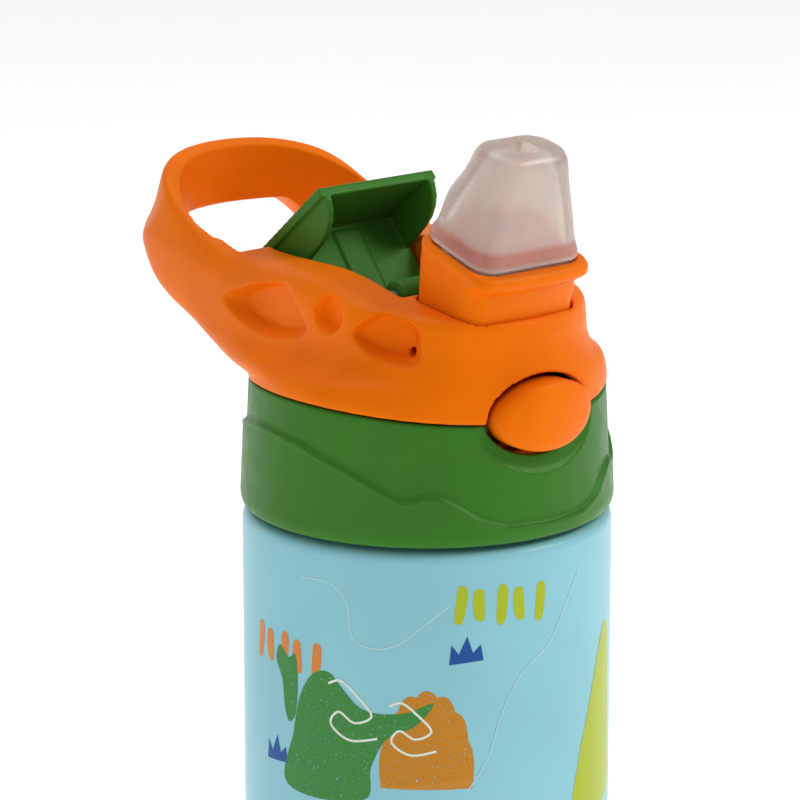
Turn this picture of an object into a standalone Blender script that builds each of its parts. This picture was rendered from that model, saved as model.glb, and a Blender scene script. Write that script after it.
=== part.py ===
"""Kids' water bottle: a double-walled steel body under a two-colour screw lid, with a carry
loop, a sprung flip cover, a soft drinking spout and a straw.

Drawn in millimetres and built in metres, +Z up, front (spout and button) towards -Y. The body
stands on the origin. Lid pieces are drawn from the collar's bottom edge and hang on an empty.
"""

import math

import bmesh
import bpy
from mathutils import Matrix, Vector

MM = 0.001
GAP = 0.3                     # space left between two pieces that touch

# Body
BODY_RADIUS = 36.5
BODY_HEIGHT = 120.0
STEEL = 0.8                   # wall of the outer shell
NECK_RADIUS = 31.5
NECK_HEIGHT = 132.4
LINER_RADIUS = 33.2
FOOT_RADIUS = 30.3            # inside edge of the ring that the body stands on

# Screw joint between body and collar
COLLAR_Z = BODY_HEIGHT + 1.0  # height of the lid's own frame
THREAD_LEAD = 8.0             # rise in one turn; two starts
THREAD_ROOT = 1.8
THREAD_CREST = 0.8
COLLAR_BORE = 32.9
COLLAR_INNER = 33.2           # inside radius above the flange
FLANGE_RADIUS = 28.5
FLANGE_LOW, FLANGE_HIGH = 14.2, 15.4
PLATE_LOW, PLATE_HIGH = 15.7, 17.9
THREAD_START = 1.6

# Lid top
WELL_HALF_WIDTH = 15.5        # space that the open cover drops into
WELL_FRONT, WELL_REAR = -11.3, 33.0
WELL_FLOOR = 26.5
WELL_WALL = 1.7
LOOP_CENTRE = 40.8            # centre of the round back of the finger hole
LOOP_INNER = 23.7
LOOP_FRONT = 35.6

# Spout
SPOUT_TILT = 0.31             # fall of the neck's rim, per millimetre towards the front
SPIGOT_RADIUS = 4.0
STRAW_Y = -21.0
STRAW_RADIUS = 3.2
STRAW_BORE = 2.4
STRAW_LENGTH = 126.0

# Flip cover, drawn open
HINGE = (0.0, -6.9, 44.1)
PIN_RADIUS = 1.25
PIN_LENGTH = 33.6
COVER_HALF_WIDTH = 13.8
FLANGE_HALF_WIDTH = 14.6
COVER_WALL = 2.0
COVER_TOP = (35.9, 45.2)      # (y, z) of the front plate's top edge, outer face
COVER_LIP = (15.9, 61.8)      # and of its lip
COVER_FOLD = (25.6, 49.7)     # inside corner between front plate and roof
COVER_HEEL = (9.0, 29.5)      # inside corner between roof and hinge arm

# Release button and latch
BUTTON_Z = 24.1
BUTTON_HALF_WIDTH = 11.7
BUTTON_HALF_HEIGHT = 6.8
BUTTON_FACE_RADIUS = 37.5
SPRING_X = 14.4
SPRING_Z = 23.6

ORANGE = (0.95, 0.22, 0.01)
GREEN = (0.028, 0.16, 0.02)
BLUE = (0.22, 0.51, 0.68)
STAINLESS = (0.62, 0.62, 0.63)
SILICONE = (0.78, 0.66, 0.60)
WHITE = (0.80, 0.80, 0.78)


def collection(name):
    """A collection of the scene."""
    group = bpy.data.collections.new(name)
    bpy.context.scene.collection.children.link(group)
    return group


def start():
    """Empty the scene and make the two collections and the lid's frame."""
    for obj in list(bpy.data.objects):
        bpy.data.objects.remove(obj, do_unlink=True)
    parts = collection("kids_water_bottle")
    cutters = collection("cutters")
    frame = bpy.data.objects.new("lid_frame", None)
    frame.location = (0, 0, COLLAR_Z * MM)
    parts.objects.link(frame)
    return parts, cutters, frame


PARTS, CUTTERS, LID = start()


# Outlines and curves ---------------------------------------------------------------------

def between(points, x):
    """Height of a line through (x, y) points."""
    for (x0, y0), (x1, y1) in zip(points, points[1:]):
        if x <= x1:
            share = max(0.0, x - x0) / (x1 - x0)
            return y0 + (y1 - y0) * share
    return points[-1][1]


def ease(low, high, x):
    """Rise smoothly from 0 at low to 1 at high."""
    share = min(1.0, max(0.0, (x - low) / (high - low)))
    return share * share * (3 - 2 * share)


def circle(radius, count=24, centre=(0.0, 0.0)):
    """Points round a circle."""
    angles = [2 * math.pi * i / count for i in range(count)]
    return [(centre[0] + radius * math.cos(a), centre[1] + radius * math.sin(a)) for a in angles]


def rounded(half_x, half_y, radius, centre=(0.0, 0.0), corner=5):
    """A rectangle with round corners, corner + 1 points to each corner."""
    points = []
    for quarter, (sx, sy) in enumerate(((1, 1), (-1, 1), (-1, -1), (1, -1))):
        for i in range(corner + 1):
            angle = math.pi / 2 * (quarter + i / corner)
            points.append((centre[0] + sx * (half_x - radius) + radius * math.cos(angle),
                           centre[1] + sy * (half_y - radius) + radius * math.sin(angle)))
    return points


def crossing(point_a, way_a, point_b, way_b):
    """Where two lines in a plane cross."""
    turn = way_a[0] * way_b[1] - way_a[1] * way_b[0]
    along = ((point_b[0] - point_a[0]) * way_b[1] - (point_b[1] - point_a[1]) * way_b[0]) / turn
    return (point_a[0] + way_a[0] * along, point_a[1] + way_a[1] * along)


def strip(points, wall):
    """Outline of a bent plate: points run along one face, and the wall is on their right."""
    ways = [(Vector(b) - Vector(a)).normalized() for a, b in zip(points, points[1:])]
    shifts = [Vector((way.y, -way.x)) * wall for way in ways]
    back = [Vector(points[0]) + shifts[0]]
    for i in range(1, len(ways)):
        corner = Vector(points[i])
        back.append(Vector(crossing(corner + shifts[i - 1], ways[i - 1], corner + shifts[i], ways[i])))
    back.append(Vector(points[-1]) + shifts[-1])
    return [tuple(p) for p in points] + [tuple(p) for p in reversed(back)]


# Solids ----------------------------------------------------------------------------------

def add_object(name, bm, origin=(0, 0, 0), parent=None, cutter=False):
    """Make an object from a bmesh drawn in millimetres, with its origin at a given point."""
    bm.transform(Matrix.Scale(MM, 4) @ Matrix.Translation(-Vector(origin)))
    mesh = bpy.data.meshes.new(name)
    bm.to_mesh(mesh)
    bm.free()
    obj = bpy.data.objects.new(name, mesh)
    obj.location = Vector(origin) * MM
    obj.parent = parent
    if cutter:
        obj.hide_render = True
        obj.display_type = "WIRE"
        CUTTERS.objects.link(obj)
    else:
        PARTS.objects.link(obj)
    return obj


def turned(name, profile, steps=48, closed=True, **place):
    """Turn a profile of (radius, z) points round Z: down its outer side, up its inner side."""
    bm = bmesh.new()
    verts = [bm.verts.new((radius, 0, z)) for radius, z in profile]
    for a, b in zip(verts, verts[1:]):
        bm.edges.new((a, b))
    if closed:
        bm.edges.new((verts[-1], verts[0]))
    obj = add_object(name, bm, **place)
    screw = obj.modifiers.new("Turn", "SCREW")
    screw.steps = screw.render_steps = steps
    screw.use_merge_vertices = True
    screw.merge_threshold = 0.00001
    screw.use_smooth_shade = True
    return obj


def loft(name, rings, ring_of_rings=False, **place):
    """Join rings of as many points; the ends are capped, or the last ring meets the first."""
    bm = bmesh.new()
    grid = [[bm.verts.new(point) for point in ring] for ring in rings]
    following = grid[1:] + grid[:1] if ring_of_rings else grid[1:]
    for low, high in zip(grid, following):
        for i in range(len(low)):
            j = (i + 1) % len(low)
            bm.faces.new((low[i], low[j], high[j], high[i]))
    if not ring_of_rings:
        bm.faces.new(list(reversed(grid[0])))
        bm.faces.new(grid[-1])
    bmesh.ops.recalc_face_normals(bm, faces=bm.faces)
    return add_object(name, bm, **place)


def extruded(name, outline, way, **place):
    """Push a flat outline of 3D points along a vector."""
    bm = bmesh.new()
    face = bm.faces.new([bm.verts.new(point) for point in outline])
    moved = bmesh.ops.extrude_face_region(bm, geom=[face])["geom"]
    corners = [item for item in moved if isinstance(item, bmesh.types.BMVert)]
    bmesh.ops.translate(bm, verts=corners, vec=way)
    bmesh.ops.recalc_face_normals(bm, faces=bm.faces)
    return add_object(name, bm, **place)


def side_plate(name, outline, x_low, x_high, **place):
    """A plate cut to a (y, z) outline, between two X positions."""
    return extruded(name, [(x_low, y, z) for y, z in outline], (x_high - x_low, 0, 0), **place)


def upright(name, outline, z_low, z_high, **place):
    """A block with an (x, y) outline, between two heights."""
    return extruded(name, [(x, y, z_low) for x, y in outline], (0, 0, z_high - z_low), **place)


def box(name, low, high, **place):
    """A box between two corners."""
    bm = bmesh.new()
    size = [b - a for a, b in zip(low, high)]
    middle = [(a + b) / 2 for a, b in zip(low, high)]
    bmesh.ops.create_cube(bm, matrix=Matrix.Translation(middle) @ Matrix.Diagonal((*size, 1)), size=1)
    return add_object(name, bm, **place)


def cylinder(name, middle, axis, radius, length, sides=24, **place):
    """A cylinder round an axis vector."""
    bm = bmesh.new()
    turn = Vector(axis).to_track_quat("Z", "Y").to_matrix().to_4x4()
    bmesh.ops.create_cone(bm, cap_ends=True, segments=sides, radius1=radius, radius2=radius,
                          depth=length, matrix=Matrix.Translation(middle) @ turn)
    return add_object(name, bm, **place)


def combine(obj, other, operation):
    """Join another solid to an object, or cut it away."""
    step = obj.modifiers.new(other.name, "BOOLEAN")
    step.object = other
    step.operation = operation
    step.solver = "EXACT"


def join(obj, *others):
    """Add solids to an object."""
    for other in others:
        combine(obj, other, "UNION")


def cut(obj, *others):
    """Take solids away from an object."""
    for other in others:
        combine(obj, other, "DIFFERENCE")


def finish(obj, colour, roughness=0.4, metallic=0.0, transmission=0.0):
    """Give an object its own material."""
    look = bpy.data.materials.new(obj.name)
    look.use_nodes = True
    shader = look.node_tree.nodes["Principled BSDF"]
    shader.inputs["Base Color"].default_value = (*colour, 1)
    shader.inputs["Roughness"].default_value = roughness
    shader.inputs["Metallic"].default_value = metallic
    shader.inputs["Transmission Weight"].default_value = transmission
    look.diffuse_color = (*colour, 1)
    obj.data.materials.append(look)
    return obj


def thread(name, root, crest, z_start, phase, **place):
    """One start of a right-handed thread: a tapered ridge one turn long."""
    rings = []
    steps = 22
    for i in range(steps + 1):
        share = i / steps
        depth = min(1.0, 0.15 + share * 10, 0.15 + (1 - share) * 10)
        tip = root + (crest - root) * depth
        angle = 2 * math.pi * share + phase
        z = z_start + THREAD_LEAD * share
        section = ((root, -THREAD_ROOT / 2), (tip, -THREAD_CREST / 2),
                   (tip, THREAD_CREST / 2), (root, THREAD_ROOT / 2))
        rings.append([(r * math.cos(angle), r * math.sin(angle), z + dz) for r, dz in section])
    return loft(name, rings, cutter=True, **place)


# Body ------------------------------------------------------------------------------------

def make_outer_shell():
    """Painted outer wall: foot ring, straight side, small shoulder and threaded neck."""
    side = BODY_RADIUS - STEEL
    inner_neck = NECK_RADIUS - STEEL
    profile = [
        (NECK_RADIUS, NECK_HEIGHT), (NECK_RADIUS, BODY_HEIGHT + 0.2),
        (34.8, BODY_HEIGHT), (35.7, 119.6), (36.25, 118.9), (BODY_RADIUS, 117.8),
        (BODY_RADIUS, 3.0), (36.2, 1.6), (35.4, 0.5), (34.2, 0.0), (FOOT_RADIUS, 0.0),
        (FOOT_RADIUS, STEEL), (33.9, STEEL), (35.0, 1.3), (side, 3.0),
        (side, 117.6), (35.3, 118.6), (34.6, 119.2), (inner_neck, 119.4), (inner_neck, NECK_HEIGHT),
    ]
    shell = turned("outer_shell", profile)
    for start_number in range(2):
        join(shell, thread(f"neck_thread_{start_number}", NECK_RADIUS - 0.3, NECK_RADIUS + 0.9,
                           COLLAR_Z + THREAD_START, math.pi * start_number))
    return finish(shell, BLUE, 0.25)


def make_inner_liner():
    """Steel cup inside the wall, hung from a rim that lies over the neck."""
    lip = NECK_RADIUS - STEEL - GAP
    wall = 0.7
    top = NECK_HEIGHT + 1.0
    profile = [
        (0, 4.0 + wall), (28.8, 4.0 + wall), (31.4, 6.2), (LINER_RADIUS - wall, 9.3),
        (LINER_RADIUS - wall, 107.8), (32.2, 110.0), (30.6, 114.0), (lip - wall, 117.0),
        (lip - wall, top), (NECK_RADIUS, top), (NECK_RADIUS, NECK_HEIGHT + GAP), (lip, NECK_HEIGHT + GAP),
        (lip, 117.4), (31.3, 114.4), (32.9, 110.2), (LINER_RADIUS, 108.0), (LINER_RADIUS, 9.0),
        (32.0, 5.6), (29.0, 4.0), (0, 4.0),
    ]
    return finish(turned("inner_liner", profile, steps=40, closed=False), STAINLESS, 0.3, 1.0)


def make_base_plate():
    """Disc that closes the outer wall, flush with the foot ring."""
    radius = FOOT_RADIUS - GAP
    profile = [(0, STEEL), (radius, STEEL), (radius, 0), (0, 0)]
    return finish(turned("base_plate", profile, closed=False), STAINLESS, 0.35, 1.0)


# Collar ----------------------------------------------------------------------------------

def seam_height(angle):
    """Height of the wavy seam between collar and lid top; angle 0 is the front."""
    return 24.5 - 0.3 * math.cos(angle) - 1.3 * math.cos(2 * angle)


def band_height(angle):
    """Top edge of the collar's raised band: low under the button, a hump, then a long wave."""
    degrees = abs(math.degrees(math.remainder(angle, 2 * math.pi)))
    edge = [(0, 3.0), (15, 3.3), (24, 5.2), (31, 8.2), (36, 9.9), (40, 10.1), (47, 8.8),
            (64, 13.9), (82, 17.8), (95, 18.9), (105, 19.0), (120, 17.8), (132, 15.5),
            (150, 9.5), (166, 5.0), (180, 4.0)]
    return between(edge, degrees)


def collar_section(angle):
    """The collar's cross-section at one angle, as (radius, z) points."""
    seam = seam_height(angle)
    band = band_height(angle)

    def wall(z):
        return 35.1 + (24.5 - z) * 0.045

    return [
        (34.85, seam), (wall(seam) + 0.02, seam - 0.4),
        (wall(band + 0.45), band + 0.45), (wall(band) + 0.75, band - 0.35),
        (36.87, 2.2), (36.65, 0.95), (36.2, 0.25), (35.4, 0.0), (33.7, 0.0), (COLLAR_BORE, 0.8),
        (COLLAR_BORE, FLANGE_LOW), (FLANGE_RADIUS, FLANGE_LOW), (FLANGE_RADIUS, FLANGE_HIGH),
        (COLLAR_INNER, FLANGE_HIGH), (COLLAR_INNER, seam),
    ]


def round_ring(section, steps):
    """Rings of a body whose section changes with the angle from the front."""
    rings = []
    for i in range(steps):
        angle = 2 * math.pi * i / steps
        rings.append([(r * math.sin(angle), -r * math.cos(angle), z) for r, z in section(angle)])
    return rings


def button_outline(margin, count=40):
    """The button's oval, grown by a margin, as (x, z) points."""
    half_x = BUTTON_HALF_WIDTH + margin
    half_z = BUTTON_HALF_HEIGHT + margin
    return [(half_x * x, BUTTON_Z + half_z * z) for x, z in circle(1.0, count)]


def button_hole(name, margin):
    """Cutter for the oval hole that the button works in."""
    outline = [(x, -40.0, z) for x, z in button_outline(margin)]
    return extruded(name, outline, (0, 12.0, 0), parent=LID, cutter=True)


def seat_dish():
    """Cutter for the shallow dish round the button, bent to the collar's curve."""
    seat = bmesh.new()
    bmesh.ops.create_uvsphere(seat, u_segments=32, v_segments=14, radius=1.0)
    seat.transform(Matrix.Translation((0, -35.7, BUTTON_Z)) @ Matrix.Diagonal((15.4, 2.1, 11.1, 1)))
    for vert in seat.verts:
        vert.co.y += 35.7 - math.sqrt(35.7 ** 2 - vert.co.x ** 2)
    return add_object("seat_dish", seat, parent=LID, cutter=True)


def make_screw_collar():
    """Green collar: raised wavy band, dished button seat, inner flange and thread."""
    collar = loft("screw_collar", round_ring(collar_section, 64), ring_of_rings=True, parent=LID)
    for start_number in range(2):
        join(collar, thread(f"collar_thread_{start_number}", COLLAR_BORE + 0.3, NECK_RADIUS + 0.45,
                            THREAD_START + THREAD_LEAD / 4, math.pi * start_number, parent=LID))
    cut(collar, seat_dish(), button_hole("collar_button_hole", 1.0))
    return finish(collar, GREEN, 0.4)


# Lid top ---------------------------------------------------------------------------------

def top_height(y):
    """Height of the lid's upper edge, from the front along its side to the loop's back."""
    return between([(-31, 42.3), (-26, 43.3), (-13.6, 44.4), (-4, 46.6), (5, 47.8), (12, 47.7),
                    (22, 47.5), (28.5, 47.7), (32, 48.5), (35, 49.4), (41.5, 51.3), (49, 54.4),
                    (54, 57.0), (58, 59.0), (62, 60.7), (66, 61.9), (68, 62.2)], y)


# Each row of the lid's skin: radius and height at the front, at the side and at the back; how
# far the back is drawn out; and how far the loop's underside is lifted at its middle. Heights of
# 0 or less are measured down from the upper edge.
SKIN = [
    ((34.9, 27.8), (35.0, 28.4), (34.7, 26.4), 2.0, 0.0),
    ((34.4, 30.0), (33.9, 30.1), (32.6, 26.9), 10.0, 4.0),
    ((33.6, 32.4), (31.0, 31.3), (30.8, 28.8), 18.5, 14.0),
    ((33.0, 34.4), (28.9, 32.8), (29.8, 32.8), 28.0, 16.5),
    ((32.5, 36.6), (28.2, 35.0), (29.5, 36.9), 37.0, 12.0),
    ((32.3, 39.2), (28.2, 38.6), (29.6, 40.8), 41.6, 8.0),
    ((32.2, -3.0), (28.2, -6.0), (29.5, -16.0), 44.2, 3.0),
    ((32.1, -2.0), (27.9, -4.2), (28.8, -12.0), 43.4, 0.5),
    ((32.0, -1.2), (27.2, -2.6), (28.0, -7.5), 42.3, 0.0),
    ((31.6, -0.5), (26.0, -1.2), (27.5, -2.2), 41.2, 0.0),
    ((30.8, -0.1), (24.3, -0.4), (27.1, -0.5), 40.9, 0.0),
    ((29.4, 0.0), (22.0, 0.0), (26.2, 0.0), 40.7, 0.0),
]


def skin_point(row, angle):
    """A point of the lid's skin, at an angle from the front."""
    front, side, back, reach, lift = row
    turn = abs(math.degrees(math.remainder(angle, 2 * math.pi)))
    to_side = ease(16, 92, turn)
    to_back = ease(95, 135, turn)
    radius = front[0] + (side[0] - front[0]) * to_side + (back[0] - side[0]) * to_back
    z = front[1] + (side[1] - front[1]) * to_side + (back[1] - side[1]) * to_back
    y = -radius * math.cos(angle) + reach * ease(60, 120, turn)
    if front[1] <= 0:
        z += top_height(y)
    return (radius * math.sin(angle), y, z + lift * ease(130, 156, turn))


def skin_angles(count):
    """Angles round the lid, closer together along its straight sides."""
    even = [2 * math.pi * i / count for i in range(count)]
    return [s + 0.2 * math.sin(2 * s) for s in even]


def lid_skin(count=72):
    """Rings of the lid's outer form, from the seam over the upper edge to its middle line."""
    angles = skin_angles(count)
    rings = [[(30.0 * math.sin(a), -30.0 * math.cos(a), 23.4) for a in angles]]
    for radius, lift in ((32.6, GAP), (34.9, GAP), (35.2, GAP + 0.35), (35.2, 1.6)):
        rings.append([(radius * math.sin(a), -radius * math.cos(a), seam_height(a) + lift)
                      for a in angles])
    for row in SKIN:
        rings.append([skin_point(row, a) for a in angles])
    middle = ((3.0, 0.0), (3.0, 0.0), (3.0, 0.0), LOOP_CENTRE, 0.0)
    rings.append([skin_point(middle, a) for a in angles])
    return rings


def finger_hole(steps=24):
    """Outline of the carry loop's opening, as (x, y) points."""
    back = []
    for i in range(steps + 1):
        angle = math.pi * i / steps
        back.append((LOOP_INNER * math.cos(angle), LOOP_CENTRE + LOOP_INNER * math.sin(angle)))
    front = rounded(LOOP_INNER, 4.0, 2.6, (0, LOOP_FRONT + 4.0), 4)
    return back[1:-1] + [p for p in front if p[1] <= LOOP_FRONT + 2.7]


def pocket_outlines():
    """The two pockets in each straight side wall, as (y, z) points."""
    rear = [(26.7, 39.9), (23.4, 41.7), (16.4, 44.3), (11.3, 45.0), (9.5, 44.0), (5.2, 39.4),
            (4.9, 37.5), (7.7, 36.2), (14.0, 35.4), (20.4, 36.2), (24.8, 37.8)]
    middle = [(-3.3 + 3.4 * x, 42.1 + 3.4 * z) for x, z in circle(1.0, 16)]
    return rear, middle


def front_pocket(side):
    """Cutter for the pocket on the lid's front shoulder, drawn on a slanting plane."""
    outline = [(0, 39.2), (1.1, 40.7), (4.9, 43.3), (7.2, 43.4), (10.4, 42.4), (12.4, 41.2),
               (12.8, 38.3), (12.4, 36.1), (10.1, 35.4), (5.6, 36.0), (2.3, 37.3)]
    plane = [(side * (24.99 - 0.524 * s), -8.94 - 0.852 * s, z) for s, z in outline]
    return extruded(f"pocket_{side + 1}_2", plane, (side * 7.67, -4.72, 0), parent=LID, cutter=True)


def make_lid_top():
    """Orange lid top: skirt, upper deck with the cover's well, and the carry loop."""
    lid = loft("lid_top", lid_skin(), parent=LID)
    hollow = turned("hollow", [(0, 38.0), (20.5, 38.0), (23.3, 36.5), (23.6, 33.6), (27.5, 31.2),
                               (31.5, 29.5), (33.0, 26.8), (33.1, 20.0), (0, 20.0)],
                    steps=48, closed=False, parent=LID, cutter=True)
    wall = WELL_WALL
    well_block = box("well_block",
                     (-WELL_HALF_WIDTH - wall, WELL_FRONT - wall, WELL_FLOOR - wall),
                     (WELL_HALF_WIDTH + wall, WELL_REAR + wall, 43.0), parent=LID, cutter=True)
    cut(hollow, well_block)
    loop_hole = upright("loop_hole", finger_hole(), 15.0, 70.0, parent=LID, cutter=True)
    well = box("well", (-WELL_HALF_WIDTH, WELL_FRONT, WELL_FLOOR),
               (WELL_HALF_WIDTH, WELL_REAR, 60.0), parent=LID, cutter=True)
    neck_hole = upright("neck_hole", neck_plan(14.4, 8.6, 4.0, -19.9, 2.2), 28.6, 62.0,
                        parent=LID, cutter=True)
    latch_slot = box("latch_slot", (-9.2, -11.0, 20.0), (9.2, -5.4, 30.0), parent=LID, cutter=True)
    cover_rest = box("cover_rest", (-14.95, 28.0, 42.9), (14.95, 45.0, 64.0),
                     parent=LID, cutter=True)
    shoulder = box("shoulder", (-22.9, 30.2, 46.2), (22.9, 46.0, 66.0), parent=LID, cutter=True)
    join(well, cover_rest, shoulder, latch_slot)
    cut(lid, hollow, loop_hole, well, neck_hole,
        button_hole("lid_button_hole", 0.9))
    for side in (-1, 1):
        for number, outline in enumerate(pocket_outlines()):
            cut(lid, side_plate(f"pocket_{side + 1}_{number}", outline, side * 24.9, side * 40,
                                parent=LID, cutter=True))
        cut(lid, front_pocket(side))
        cut(lid, cylinder(f"vent_{side + 1}", (side * 18.0, -18.3, 36.4), (side * 0.852, -0.524, 0),
                          0.7, 9.0, 10, parent=LID, cutter=True))
        bore = PIN_RADIUS + 0.1
        cut(lid, cylinder(f"pin_bore_{side + 1}", (side * 16.0, *HINGE[1:]), (1, 0, 0), bore, 3.0,
                          parent=LID, cutter=True))
    return finish(lid, ORANGE, 0.42)


# Spout -----------------------------------------------------------------------------------

def neck_plan(half_x, half_y, radius, centre_y, bulge=0.0):
    """A neck outline: square back, straight sides, and a front that bulges forward."""
    points = rounded(half_x, half_y, radius, (0, centre_y))
    straight = half_x - radius
    across = [(straight * (i / 3 - 1), centre_y - half_y) for i in range(1, 6)]
    points = points[:18] + across + points[18:]
    return [(x, y - bulge * (1 - (x / half_x) ** 2) * max(0.0, (centre_y - y) / half_y))
            for x, y in points]


def rim_height(y):
    """Height of the neck's sloping rim."""
    return 57.3 + SPOUT_TILT * (y + 13.6)


def sloped(outline, drop=0.0):
    """Lay an (x, y) outline on the rim's plane, or below it."""
    return [(x, y, rim_height(y) - drop) for x, y in outline]


def level(outline, z):
    """Lay an (x, y) outline at one height."""
    return [(x, y, z) for x, y in outline]


def make_spout_base():
    """Orange plate under the lid: plug skirt, drink tube, lipped neck, spigot, straw socket."""
    low, high, groove = PLATE_LOW, PLATE_HIGH, PLATE_LOW + 1.0
    plate = [(0, high), (32.7, high), (32.7, low), (31.5, low), (31.5, groove), (29.3, groove),
             (29.3, low), (28.1, low), (28.1, 10.8), (26.6, 10.8), (26.6, low), (0, low)]
    base = turned("spout_base", plate, closed=False, parent=LID)
    neck = loft("neck", [
        level(neck_plan(14.0, 8.2, 3.6, -19.9, 2.2), 36.2),
        level(neck_plan(14.0, 8.2, 3.6, -19.9, 2.2), 43.0),
        sloped(neck_plan(14.0, 8.6, 3.6, -20.9, 1.8), 4.6),
        sloped(neck_plan(14.3, 9.6, 3.2, -22.9, 1.1), 2.2),
        sloped(neck_plan(14.3, 9.8, 3.2, -23.0, 0.9), 0.8),
        sloped(neck_plan(13.8, 9.3, 3.0, -22.9, 0.8), 0.0),
        sloped(neck_plan(12.8, 8.4, 3.6, -22.9), 0.0),
        sloped(neck_plan(12.5, 8.1, 3.6, -22.9), 1.2),
        sloped(neck_plan(10.2, 5.9, 3.0, -22.8), 1.2),
        sloped(neck_plan(9.9, 5.6, 3.0, -22.8), -3.2),
        sloped(neck_plan(9.2, 4.9, 3.0, -22.8), -4.0),
    ], parent=LID, cutter=True)
    tube = cylinder("tube", (0, STRAW_Y, 27.0), (0, 0, 1), 5.2, 20.0, parent=LID, cutter=True)
    socket = cylinder("socket", (0, STRAW_Y, 11.5), (0, 0, 1), 4.9, 10.0, parent=LID, cutter=True)
    join(base, tube, neck, socket)
    for side in (-1, 1):
        join(base, box(f"spring_post_{side + 1}", (side * SPRING_X - 1.7, -16.9, PLATE_HIGH - 0.5),
                       (side * SPRING_X + 1.7, -15.2, 26.2), parent=LID, cutter=True))
    channel = cylinder("channel", (0, STRAW_Y, 41.0), (0, 0, 1), SPIGOT_RADIUS, 45.0,
                       parent=LID, cutter=True)
    straw_bore = cylinder("straw_bore", (0, STRAW_Y, 11.5), (0, 0, 1), STRAW_RADIUS + GAP, 15.0,
                          parent=LID, cutter=True)
    vent = cylinder("vent_hole", (12.0, 14.0, PLATE_LOW), (0, 0, 1), 1.3, 8.0, 16,
                    parent=LID, cutter=True)
    notch = box("button_notch", (-13.0, -36.0, 17.0), (13.0, -28.2, 20.0), parent=LID, cutter=True)
    cut(base, channel, straw_bore, vent, notch)
    return finish(base, ORANGE, 0.42)


def make_spout():
    """Soft spout: leans forward from its foot on the rim to a tilted oval tip with a round hole."""
    def tip(half_x, half_y, radius, z, slope, centre_y=-28.2):
        return [(x, y, z + slope * (y + 28.2)) for x, y in
                rounded(half_x, half_y, radius, (0, centre_y))]

    count = len(rounded(1, 1, 0.5))

    def hole(radius, z, slope, y_centre):
        angles = [2 * math.pi * (i + 0.5) / count for i in range(count)]
        return [(radius * math.cos(a), y_centre + radius * math.sin(a),
                 z + slope * radius * math.sin(a)) for a in angles]

    rings = [
        sloped(rounded(12.2, 7.8, 3.6, (0, -22.9)), 0.9),
        sloped(rounded(12.3, 7.9, 3.8, (0, -22.9)), -0.4),
        sloped(rounded(13.1, 9.1, 4.4, (0, -22.6)), -0.5),
        sloped(rounded(13.2, 9.2, 4.6, (0, -22.6)), -1.6),
        sloped(rounded(12.4, 8.5, 4.8, (0, -23.4)), -4.4),
        tip(11.4, 7.8, 5.0, 63.2, 0.30, -24.5),
        tip(10.0, 6.9, 5.0, 68.0, 0.28, -26.2),
        tip(9.2, 6.3, 5.0, 72.0, 0.25, -27.3),
        tip(8.7, 5.8, 4.9, 73.6, 0.24, -27.6),
        tip(7.6, 4.8, 4.2, 74.5, 0.24, -27.8),
        hole(3.1, 74.65, 0.24, -28.0),
        hole(2.65, 74.1, 0.24, -28.0),
        hole(2.65, 71.8, 0.24, -27.8),
        tip(6.2, 4.2, 4.0, 70.2, 0.24, -27.4),
        tip(8.4, 4.9, 4.0, 64.5, 0.28, -25.4),
        sloped(rounded(10.3, 6.0, 3.6, (0, -22.8)), -4.4),
        sloped(rounded(10.3, 6.0, 3.2, (0, -22.8)), -3.4),
        sloped(rounded(10.6, 6.3, 3.2, (0, -22.8)), 0.9),
    ]
    return finish(loft("spout", rings, ring_of_rings=True, parent=LID), SILICONE, 0.3, 0, 0.6)


def make_straw():
    """Clear tube from the spout base down to just above the liner's floor."""
    top = PLATE_LOW - 0.7
    profile = [(STRAW_RADIUS, top), (STRAW_RADIUS, top - STRAW_LENGTH),
               (STRAW_BORE, top - STRAW_LENGTH), (STRAW_BORE, top)]
    straw = turned("straw", profile, steps=24, parent=LID)
    straw.location = (0, STRAW_Y * MM, 0)
    return finish(straw, WHITE, 0.2, 0, 0.5)


# Seals and valve -------------------------------------------------------------------------

def make_seals():
    """Flat gasket on the mouth, round ring under the spout base, and the vent valve."""
    gasket = turned("lid_gasket", [(32.2, 13.9), (32.2, 12.7), (29.2, 12.7), (29.2, 13.9)],
                    parent=LID)
    finish(gasket, SILICONE, 0.5)
    ring = turned("plate_seal", [(r, z) for r, z in reversed(circle(0.45, 6, (30.4, 16.18)))],
                  steps=48, parent=LID)
    finish(ring, SILICONE, 0.5)
    valve = turned("vent_valve", [(0, 19.5), (0.9, 19.5), (1.7, 18.8), (1.7, 18.2), (0.9, 18.2),
                                  (0.9, 15.3), (4.2, 15.3), (4.4, 14.8), (2.2, 14.1), (0, 14.0)],
                   steps=20, closed=False, parent=LID)
    valve.location = (12.0 * MM, 14.0 * MM, 0)
    finish(valve, SILICONE, 0.5)


# Flip cover ------------------------------------------------------------------------------

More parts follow.
